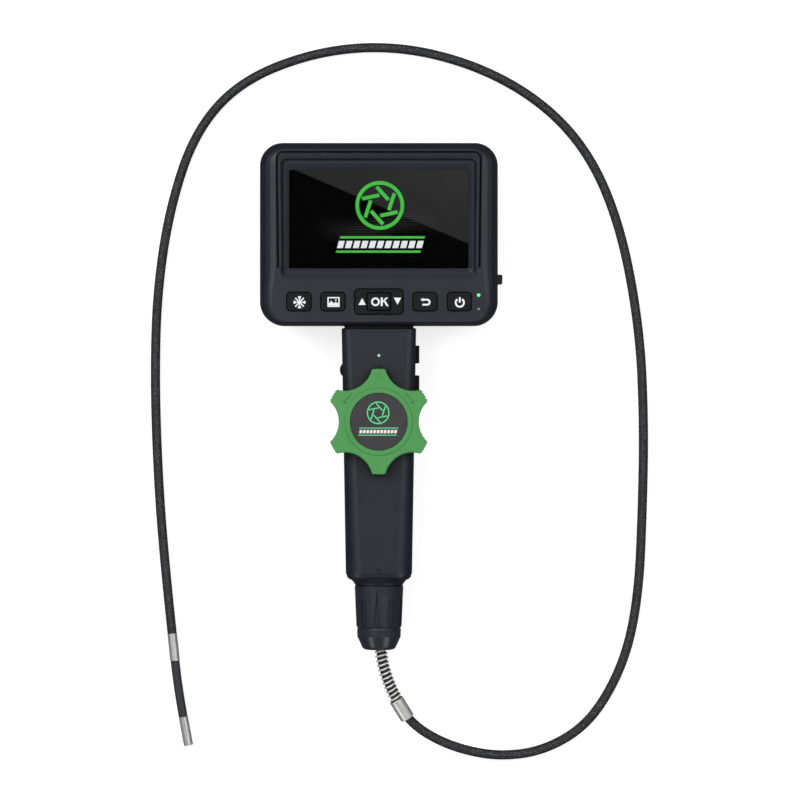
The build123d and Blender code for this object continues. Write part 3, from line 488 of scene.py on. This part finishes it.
def screen_picture_with_glare_material(corner_a, corner_b, wave_y):
    """Near black, with a painted glare reflection that is lighter above a slanting line between two corners,
    and a faint wave of dots at wave_y.
    """
    made = Shader("screen_picture_with_glare", Emission_Strength=1.0, Roughness=0.4, Specular_IOR_Level=0.0)
    made.colour((0.0, 0.0, 0.0, 1.0))
    x, y, _ = made.node("SeparateXYZ", {0: made.place()}).outputs
    slope = (corner_b[1] - corner_a[1]) / (corner_b[0] - corner_a[0])
    above = made.math("SUBTRACT", y, made.math("MULTIPLY_ADD", x, slope, corner_a[1] - slope * corner_a[0]))
    edge = made.spread(above, 0.0, 1.0, start=-0.25, end=0.25)
    # Painted reflection: a glare, lighter above the slanting line, added to the screen's glow.
    sheen = made.math("MULTIPLY", edge, made.spread(above, 0.021, 0.032, end=45.0))
    wave = made.math("MULTIPLY_ADD", made.math("SINE", made.math("MULTIPLY", x, 0.09)), 2.5, wave_y)
    band = made.spread(made.math("ABSOLUTE", made.math("SUBTRACT", y, wave)), 1.0, 0.0, end=6.5)
    off_dot = []
    for value in (x, y):
        share = made.math("FRACT", made.math("MULTIPLY", value, DOTS_A_MM))
        off_dot.append(made.math("ABSOLUTE", made.math("SUBTRACT", share, 0.5)))
    dots = made.math("LESS_THAN", made.math("ADD", *off_dot), 0.3)
    fade = made.spread(made.math("ABSOLUTE", x), 1.0, 0.0, start=4.0, end=34.0)
    speckle = made.math("MULTIPLY", made.math("MULTIPLY", dots, band), made.math("MULTIPLY", fade, 0.1))
    light = made.math("ADD", made.math("ADD", sheen, speckle), 0.0003)
    blue = made.math("MULTIPLY", light, 1.02)
    made.glow(made.node("CombineColor", {0: light, 1: light, 2: blue}).outputs[0])
    return made.material


# ---------------------------------------------------------------- lines in space

class Line:
    """A polyline measured by arc length, in metres."""

    def __init__(self, points):
        self.points = points
        self.marks = [0.0]
        for a, b in zip(points, points[1:]):
            self.marks.append(self.marks[-1] + (b - a).length)
        self.length = self.marks[-1]

    def point(self, distance):
        distance = min(max(distance, 0.0), self.length)
        i = min(bisect_right(self.marks, distance), len(self.points) - 1)
        span = self.marks[i] - self.marks[i - 1]
        return self.points[i - 1].lerp(self.points[i], (distance - self.marks[i - 1]) / span)

    def axes(self, distance, reach=0.6 * MM):
        """The direction along the line at a distance, and the two directions square to it."""
        along = (self.point(distance + reach) - self.point(distance - reach)).normalized()
        side = along.cross(Vector((0, 0, 1))).normalized()
        return along, side, side.cross(along)


def probe_line():
    """The cable's centre line, read from a smooth spline through its route."""
    curve = bpy.data.curves.new("probe_line", "CURVE")
    curve.dimensions = "3D"
    curve.resolution_u = 48
    spline = curve.splines.new("NURBS")
    spline.points.add(len(ROUTE) - 1)
    for point, place in zip(spline.points, ROUTE):
        point.co = (*mm(*place), 1.0)
    spline.order_u = 3
    spline.use_endpoint_u = True
    holder = bpy.data.objects.new("probe_line", curve)
    mesh = bpy.data.meshes.new_from_object(holder)
    points = [vertex.co.copy() for vertex in mesh.vertices]
    bpy.data.objects.remove(holder)
    bpy.data.meshes.remove(mesh)
    bpy.data.curves.remove(curve)
    return Line(points)


def circle_points(centre, side, up, radius, sides):
    """Points on a circle in the plane of side and up."""
    angles = [2 * pi * step / sides for step in range(sides)]
    return [centre + (side * cos(angle) + up * sin(angle)) * radius for angle in angles]


# ---------------------------------------------------------------- probe

def strand_height(along, around):
    """Height of the braid's surface, from 0 to 1. along is in millimetres and around is a share of a turn."""
    first = around * STRANDS + along * STRANDS / BRAID_LAY
    second = around * STRANDS - along * STRANDS / BRAID_LAY
    profiles = [1 - (2 * (value % 1.0) - 1) ** 2 for value in (first, second)]
    over = (int(first // 1) + int(second // 1)) % 2
    return max(profiles[over], UNDER_SHARE * profiles[1 - over])


def braided_cable(material):
    """The cable as one tube whose skin rises and falls with the crossing strands."""
    steps = int(cable_line.length / (RING_STEP * MM))
    rings = []
    for step in range(steps + 1):
        distance = cable_line.length * step / steps
        centre = cable_line.point(distance)
        _, side, up = cable_line.axes(distance)
        points = []
        for turn in range(RING_SIDES):
            share = turn / RING_SIDES
            radius = BRAID_FOOT_R + BRAID_DEPTH * strand_height(distance / MM, share)
            direction = side * cos(2 * pi * share) + up * sin(2 * pi * share)
            points.append(centre + direction * radius * MM)
        rings.append(points)
    cable = add_object("probe_cable_braid", tube_mesh("probe_cable_braid", rings), material, smooth=True)
    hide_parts("probe_cable")
    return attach(cable, "housing")


def wound_spring(material):
    """One wire wound round the cable behind the nut."""
    steps = SPRING_TURNS * STEPS_A_TURN
    long = SPRING_END - SPRING_START
    distances = [(SPRING_START + long * step / steps) * MM for step in range(steps + 1)]
    outwards = []
    for step, distance in enumerate(distances):
        _, side, up = cable_line.axes(distance)
        angle = -2 * pi * step / STEPS_A_TURN
        outwards.append((side * cos(angle) + up * sin(angle)) * SPRING_COIL_R * MM)
    wire = Line([cable_line.point(distance) + outward for distance, outward in zip(distances, outwards)])
    rings = []
    for centre, distance, outward in zip(wire.points, wire.marks, outwards):
        along, _, _ = wire.axes(distance, reach=0.1 * MM)
        side = (outward - along * outward.dot(along)).normalized()
        rings.append(circle_points(centre, side, along.cross(side), SPRING_WIRE_R * MM, WIRE_SIDES))
    spring = add_object("strain_spring_wire", tube_mesh("strain_spring_wire", rings), material, smooth=True)
    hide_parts("strain_spring")
    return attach(spring, "housing")


def heading(angle):
    """The direction on the floor that points towards -Y, turned by angle degrees towards +X."""
    return Vector((sin(radians(angle)), -cos(radians(angle)), 0))


def tip_chain():
    """The tip ferrule's start and heading, then each pivot with the heading of the piece after it.

    Places are in metres and headings in degrees."""
    last = mm(*ROUTE[-1]) - mm(*ROUTE[-2])
    angle = degrees(atan2(last.x, -last.y))
    start = mm(*ROUTE[-1])
    ferrule_end = start + heading(angle) * TIP_FERRULE_LONG * MM
    pitch = (BEND_LONG - 2 * PIVOT_INSET) / LINKS * MM
    pivot = ferrule_end + heading(angle) * PIVOT_INSET * MM
    first_angle = angle
    chain = []
    for _ in range(LINKS + 1):
        angle += REST_CURL
        chain.append((pivot.copy(), angle))
        pivot = pivot + heading(angle) * pitch
    return start, first_angle, chain


def weld_and_shade(mesh):
    """Joins doubled corners, and shades the mesh smooth except over its sharp rims."""
    welded = bmesh.new()
    welded.from_mesh(mesh)
    bmesh.ops.remove_doubles(welded, verts=welded.verts[:], dist=WELD * MM)
    for face in welded.faces:
        face.smooth = True
    for edge in welded.edges:
        edge.smooth = edge.calc_face_angle(0.0) <= radians(40)
    welded.to_mesh(mesh)
    welded.free()


def sleeve_segments(material):
    """The rubber sleeve over the links, cut at each link's middle so that each piece crosses one pivot."""
    start, first_angle, chain = tip_chain()
    last_pivot, last_angle = chain[-1]
    low = start + heading(first_angle) * (TIP_FERRULE_LONG + SLEEVE_GAP) * MM
    high = last_pivot + heading(last_angle) * (PIVOT_INSET - SLEEVE_GAP) * MM
    chord = high - low
    bulge = chord.length * radians(last_angle - first_angle) / 8
    bend = (low + high) / 2 + Vector((chord.y, -chord.x, 0)).normalized() * 2 * bulge

    def centre(share):
        return low.lerp(bend, share).lerp(bend.lerp(high, share), share)

    def ring_at(share, radius):
        along = (bend - low).lerp(high - bend, share).normalized()
        side = along.cross(Vector((0, 0, 1))).normalized()
        return circle_points(centre(share), side, side.cross(along), radius * MM, SLEEVE_SIDES)

    def share_of(point):
        return (point - low).dot(chord) / chord.length_squared

    middles = [(a[0] + b[0]) / 2 for a, b in zip(chain, chain[1:])]
    cuts = [0.0] + [share_of(middle) for middle in middles] + [1.0]
    segments = []
    for number, (pivot, _) in enumerate(chain):
        first_cut = cuts[number]
        last_cut = cuts[number + 1]
        span = last_cut - first_cut
        shares = [first_cut + span * step / SLEEVE_STEPS for step in range(SLEEVE_STEPS + 1)]
        outside = [ring_at(share, SLEEVE_R) for share in shares]
        inside = [ring_at(share, SLEEVE_R - SLEEVE_WALL) for share in reversed(shares)]
        name = f"bending_sleeve_{number + 1}"
        mesh = tube_mesh(name, outside + inside + [outside[0]], closed_ends=False)
        segment = add_object(name, mesh, material)
        weld_and_shade(mesh)
        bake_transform(segment)
        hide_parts("bending_sleeve")
        segments.append(segment)
    return segments


def probe(materials):
    cable = braided_cable(materials["braid"])
    spring = wound_spring(materials["spring_steel"])
    segments = sleeve_segments(sleeve_material())
    carried = ["spring_ferrule", "tip_ferrule", "camera_head", "camera_module", "led_ring", "lens_window"]
    carried += [f"link_{number + 1}" for number in range(LINKS)]
    path = [cable_line.point(cable_line.length * step / PATH_STEPS) for step in range(PATH_STEPS + 1)]


# ---------------------------------------------------------------- markings

def aperture(size, width):
    """A ring with the six blade edges of a camera's aperture inside it, size across."""
    outer = (size - width) / 2
    inner = outer * 0.52
    gap = width * 0.5
    strokes = ring(0, 0, outer, width, steps=60)
    for blade in range(6):
        start = Vector(polar(inner, 60 * blade + 12))
        turn = Vector(polar(inner, 60 * blade + 72))
        along = (turn - start).normalized()
        start = start + along * (width / 2 + gap) / sin(radians(60))
        reach = outer - width / 2 - gap
        middle = start.dot(along)
        off = (start - along * middle).length
        end = start + along * ((reach * reach - off * off) ** 0.5 - middle)
        strokes += stroke([tuple(start), tuple(end)], width)
    return strokes


def slanted(x0, x1, y0, y1, lean):
    """A bar between two heights that leans by lean for each unit of height."""
    return [(x0 + lean * y0, y0), (x1 + lean * y0, y0), (x1 + lean * y1, y1), (x0 + lean * y1, y1)]


def bar_lines(width, apart, thick, lean):
    """Two thin lines, one over and one under the segmented bar."""
    rows = []
    for middle in (-apart / 2, apart / 2):
        rows.append(slanted(-width / 2, width / 2, middle - thick / 2, middle + thick / 2, lean))
    return rows


def bar_segments(width, height, count, lean):
    """A bar cut into leaning segments with gaps between them."""
    pitch = width / count
    gap = pitch * 0.26
    starts = [-width / 2 + pitch * number for number in range(count)]
    return [slanted(x + gap / 2, x + pitch - gap / 2, -height / 2, height / 2, lean) for x in starts]


def snowflake():
    """Four straight arms on the diagonals and four arms with wedge ends, in one outline."""
    straight = [(3.15, -0.36), (3.15, 0.36)]
    wedge = [(1.5, -0.22), (2.7, -0.85), (3.15, -0.78), (3.15, 0.78), (2.7, 0.85), (1.5, 0.22)]
    points = []
    for arm in range(8):
        out = Vector(polar(1, 45 * arm))
        side = Vector((-out.y, out.x))
        profile = straight if arm % 2 else wedge
        points += [tuple(out * reach + side * off) for reach, off in profile]
        points.append(polar(0.85, 45 * arm + 22.5))
    return [points]


def picture_frame():
    """A framed picture of hills under a sun."""
    frame_line = stroke([(-2.85, -2.25), (2.85, -2.25), (2.85, 2.25), (-2.85, 2.25)], 0.7, closed=True)
    ground = [(-2.45, -1.85), (2.45, -1.85)]
    hills = [(2.45, -0.75), (1.05, 0.15), (0.2, -0.8), (-1.2, 0.7), (-2.45, -0.8)]
    sun = arc(1.2, 0.95, 0.42, 0, 360, 16)[:-1]
    return frame_line + [ground + hills, sun]


def triangle(x, base_y, tip_y, half=1.95):
    """The outline of an arrow head whose tip lies over or under the middle of its base."""
    return [(x - half, base_y), (x + half, base_y), (x, tip_y)]


def back_arrow():
    hook = [(-1.6, -1.3), (0.75, -1.3)] + arc(0.9, 0.0, 1.3, -90, 90, 14) + [(0.75, 1.3), (-1.0, 1.3)]
    head = [(-2.6, 1.3), (-1.05, 2.3), (-1.05, 0.3)]
    return stroke(hook, 0.95) + [head]


def power_mark():
    return stroke(arc(0, -0.15, 2.15, -235, 55, 30), 0.95) + stroke([(0, -0.1), (0, 2.75)], 0.95)


def ok_letters():
    stem = stroke([(1.55, -2.25), (1.55, 2.25)], 1.0)
    upper = [(2.07, 0.35), (2.07, -0.5), (2.6, 0.05), (4.9, 2.25), (3.65, 2.25)]
    lower = [(2.7, 0.0), (4.0, -2.25), (5.2, -2.25), (3.35, 0.65)]
    return ring(-1.75, 0, 1.8, 0.95) + stem + [upper, lower]


def key_markings(material):
    """The symbols on the keys, each printed on its own key and shifted a little from its middle."""
    arrows = [triangle(-8.7, -1.75, 1.85), triangle(9.8, 2.05, -1.55)]
    icons = {
        "freeze_icon": ("freeze_button", "freeze_key", snowflake(), (0.3, -0.35)),
        "gallery_icon": ("gallery_button", "gallery_key", picture_frame(), (0.3, -0.2)),
        "back_icon": ("back_button", "back_key", back_arrow(), (0.2, -0.3)),
        "power_icon": ("power_button", "power_key", power_mark(), (0.2, -0.4)),
        "arrow_icons": ("up_down_rocker", "rocker", arrows, (0, 0)),
        "ok_icon": ("ok_button", "ok_key", ok_letters(), (0, -0.1)),
    }
    for name, (node, body, outlines, shift) in icons.items():
        centre, top = middle_and_top(node)
        places = moved(outlines, centre.x + shift[0], centre.y + shift[1])
        plate(name, places, top - PRINT_SUNK, material, body)


def mark(prefix, sizes, x, y, low_z, inks, body):
    """An aperture emblem over a segmented bar that lies between two lines, in green and white."""
    green, white = inks
    lean = sizes["lean"]
    rows = [
        ("emblem", aperture(*sizes["emblem"]), sizes["emblem_place"], green),
        ("bar_lines", bar_lines(*sizes["lines"], lean), sizes["bar_place"], green),
        ("bar", bar_segments(*sizes["bar"], lean), sizes["bar_place"], white),
    ]
    for name, outlines, (shift_x, shift_y), ink in rows:
        plate(f"{prefix}_{name}", moved(outlines, x + shift_x, y + shift_y), low_z, ink, body)


def screen(inks):
    """The lit picture on the LCD module with its painted glare reflection, and the mark just over it."""
    _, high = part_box("lcd_panel")
    top = high.z / MM
    middle_y = high.y / MM - PICTURE_DROP
    low_y = middle_y - PICTURE_HALF_H
    high_y = middle_y + PICTURE_HALF_H
    picture_with_glare = screen_picture_with_glare_material((-SHEEN_X, high_y), (SHEEN_X, low_y + SHEEN_RISE), middle_y + WAVE_Y)
    left, right = -PICTURE_HALF_W, PICTURE_HALF_W
    outline = [(left, low_y), (right, low_y), (right, high_y), (left, high_y)]
    plate("screen_picture_with_glare", [outline], top + 0.02, picture_with_glare, "housing")
    mark("screen", SCREEN_MARK, 0, middle_y, top + 0.08, inks, "housing")


def badge(inks):
    centre, top = middle_and_top("knob_badge")
    mark("badge", BADGE_MARK, centre.x, centre.y, top - PRINT_SUNK, inks, "knob")


def turn_arrows(material):
    """Two raised curved arrows beside the badge that show which way the tip bends; their darker green is
    painted shade of their relief.
    """
    centre, top = middle_and_top("steering_knob")
    outlines = []
    for side in (-1, 1):
        middle = 90 - side * ARROW_FROM_TOP
        neck = middle - side * ARROW_NECK
        outlines += stroke(arc(0, 0, ARROW_R, middle + side * ARROW_TAIL, neck, 10), ARROW_LINE)
        tip = polar(ARROW_R, neck - side * ARROW_HEAD)
        outlines.append([tip, polar(ARROW_R - ARROW_HALF_W, neck), polar(ARROW_R + ARROW_HALF_W, neck)])
    plate("turn_arrows", moved(outlines, centre.x, centre.y), top - ARROW_DROP, material, "knob",
          thick=ARROW_THICK)


# ---------------------------------------------------------------- finish of the CAD nodes

def slot_materials():
    """One finish for each material slot, apart from the lamps' slot."""
    plastic = moulded_plastic
    return {
        # The charcoal plastic and the key rubber take painted shade in their grooves and key gaps.
        "charcoal_plastic": plastic("charcoal_plastic", (0.0065, 0.008, 0.0145), (0.0125, 0.0145, 0.023),
                                    0.42, crevice=3.0, Specular_IOR_Level=0.38),
        "key_rubber": plastic("key_rubber", (0.0012, 0.0016, 0.003), (0.005, 0.0058, 0.008), 0.6, grain=0.25,
                              depth=0.008, crevice=1.5, Specular_IOR_Level=0.2),
        "green_plastic": plastic("green_plastic", (0.045, 0.25, 0.053), (0.064, 0.30, 0.074), 0.46,
                                 depth=0.01, edge=0.3),
        "badge_plastic": plastic("badge_plastic", (0.012, 0.011, 0.0125), (0.034, 0.030, 0.034), 0.5,
                                 grain=0.5, depth=0.02, edge=0.1),
        "screen_glass": glass_material("screen_glass"),
        "lcd": plastic("lcd", (0.003, 0.003, 0.004), (0.006, 0.006, 0.007), 0.25, edge=0.0),
        "nickel": streaked_metal("nickel", (0.78, 0.77, 0.75), 0.3),
        "spring_steel": printed_ink("spring_steel", (0.8, 0.8, 0.79), Metallic=0.5),
        "steel": cast_metal("steel", (0.5, 0.5, 0.5), 0.35),
        "zinc_screw": cast_metal("zinc_screw", (0.42, 0.42, 0.43), 0.35),
        "brass": cast_metal("brass", (0.72, 0.52, 0.22), 0.3),
        "black_rubber": plastic("black_rubber", (0.008, 0.008, 0.009), (0.016, 0.016, 0.018), 0.68,
                                grain=0.3, depth=0.01),
        "board": plastic("board", (0.01, 0.08, 0.035), (0.02, 0.12, 0.05), 0.4, edge=0.0),
        "cell_wrap": plastic("cell_wrap", (0.03, 0.09, 0.28), (0.05, 0.13, 0.38), 0.35),
        "marking": printed_ink("marking", (0.82, 0.83, 0.85)),
        "braid": braid_material(),
    }


def special_nodes():
    """Finishes of nodes that differ from the rest of their slot: the three lamps, and the glossier nut, whose
    plastic is a lighter copy of the charcoal plastic as painted light.
    """
    power_centre, _ = middle_and_top("power_led")
    handle_centre, _ = middle_and_top("handle_led")
    # Painted light: the nut's plastic is made lighter than the charcoal plastic so that it looks brighter,
    # and its crevices take painted shade.
    lightened_nut_dark = (0.012, 0.014, 0.022)
    lightened_nut_light = (0.023, 0.026, 0.037)
    return {
        "probe_nut": moulded_plastic("nut_plastic_lightened", lightened_nut_dark, lightened_nut_light, 0.27, crevice=2.0),
        "power_led": lamp_material("power_lamp", (0.16, 0.85, 0.34), (0.01, 0.25, 0.05), power_centre,
                                   1.0, 0.8),
        "handle_led": lamp_material("handle_lamp", (0.42, 0.66, 0.56), (0.10, 0.22, 0.17), handle_centre,
                                    0.8, 0.5),
        "status_led": printed_ink("status_lamp", (0.28, 0.28, 0.28)),
    }


def directed_metals():
    """Streaked metal for each barrel on the probe, in line with its own axis."""
    start, first_angle, chain = tip_chain()
    last_pivot, last_angle = chain[-1]
    middle = cable_line.point(FERRULE_MIDDLE * MM)
    along, _, _ = cable_line.axes(FERRULE_MIDDLE * MM)
    turn = along.to_track_quat("Y", "Z").to_euler()
    first_turn = (0, 0, radians(180 + first_angle))
    last_turn = (0, 0, radians(180 + last_angle))
    warm = (0.78, 0.77, 0.73)
    bright = (0.70, 0.70, 0.70)
    return {
        "spring_ferrule": streaked_metal("ferrule_metal", warm, 0.34, middle, turn),
        "tip_ferrule": streaked_metal("tip_ferrule_metal", bright, 0.28, start, first_turn),
        "camera_head": streaked_metal("camera_head_metal", bright, 0.26, last_pivot, last_turn),
    }


def dress_nodes(materials):
    """Gives each CAD node its own finish, or else the finish of its slot."""
    special = {**special_nodes(), **directed_metals()}
    for row in frame["record"]["subparts"]:
        material = special.get(row["node"]) or materials[row["material_slot"]]
        for slot in frame["nodes"][row["node"]].material_slots:
            slot.material = material


# ---------------------------------------------------------------- studio

def add_camera():
    data = bpy.data.cameras.new("camera")
    data.lens = LENS
    data.sensor_width = SENSOR
    camera = bpy.data.objects.new("camera", data)
    camera.location = (*VIEW_CENTRE, VIEW_LEVEL + VIEW_WIDTH * LENS / SENSOR)
    bpy.context.scene.collection.objects.link(camera)
    bpy.context.scene.camera = camera


def add_softbox(name, place, aim, size, power):
    data = bpy.data.lights.new(name, "AREA")
    data.shape = "RECTANGLE"
    data.size, data.size_y = size
    data.energy = power
    light = bpy.data.objects.new(name, data)
    light.location = place
    light.rotation_euler = (Vector(aim) - Vector(place)).to_track_quat("-Z", "Y").to_euler()
    light.visible_camera = False
    bpy.context.scene.collection.objects.link(light)


def add_floor():
    """White paper under the object, unseen by reflections and bounced light."""
    half = FLOOR_HALF
    corners = [(-half, -half), (half, -half), (half, half), (-half, half)]
    mesh = bpy.data.meshes.new("floor")
    mesh.from_pydata([(x, y, FLOOR_LEVEL) for x, y in corners], [], [(0, 1, 2, 3)])
    made = Shader("floor_paper", Roughness=0.9, Emission_Strength=0.72, Emission_Color=(1.0, 1.0, 1.0, 1.0))
    fibre = made.noise(made.place(), 0.4, detail=3.0)
    made.colour(made.ramp(fibre, (0.3, (0.5, 0.5, 0.5)), (0.7, (0.52, 0.52, 0.52))))
    floor = add_object("floor", mesh, made.material)
    floor.visible_glossy = False
    floor.visible_diffuse = False


def add_world():
    """White light from all round, stronger from above than from the sides and below."""
    world = bpy.data.worlds.new("studio")
    world.use_nodes = True
    made = NodeTree(world.node_tree)
    seat = made.node("TexCoord").outputs["Generated"]
    _, _, height = made.node("SeparateXYZ", {0: seat}).outputs
    background = made.nodes["Background"]
    made.feed(background.inputs["Color"], (1.0, 1.0, 1.0, 1.0))
    made.feed(background.inputs["Strength"], made.spread(height, 0.1, 0.3, start=-0.2, end=0.9))
    bpy.context.scene.world = world


def add_studio():
    add_floor()
    add_world()
    for name, (place, aim, size, power) in SOFTBOXES.items():
        add_softbox(name, place, aim, size, power)
    bpy.context.scene.view_settings.view_transform = "Standard"


add_camera()
cable_line = probe_line()
materials = slot_materials()
probe(materials)
dress_nodes(materials)
screen_green = printed_ink("screen_green", (0.036, 0.50, 0.036), glow=1.0)
screen_white = printed_ink("screen_white", (0.92, 0.92, 0.92), glow=0.9)
badge_green = printed_ink("badge_green", (0.10, 0.72, 0.28))
badge_white = printed_ink("badge_white", (0.8, 0.8, 0.8))
screen((screen_green, screen_white))
key_markings(materials["marking"])
badge((badge_green, badge_white))
# The arrows are a darker green than the knob: painted shade of their relief.
turn_arrows(printed_ink("arrow_shaded_green", (0.028, 0.17, 0.034)))
add_studio()
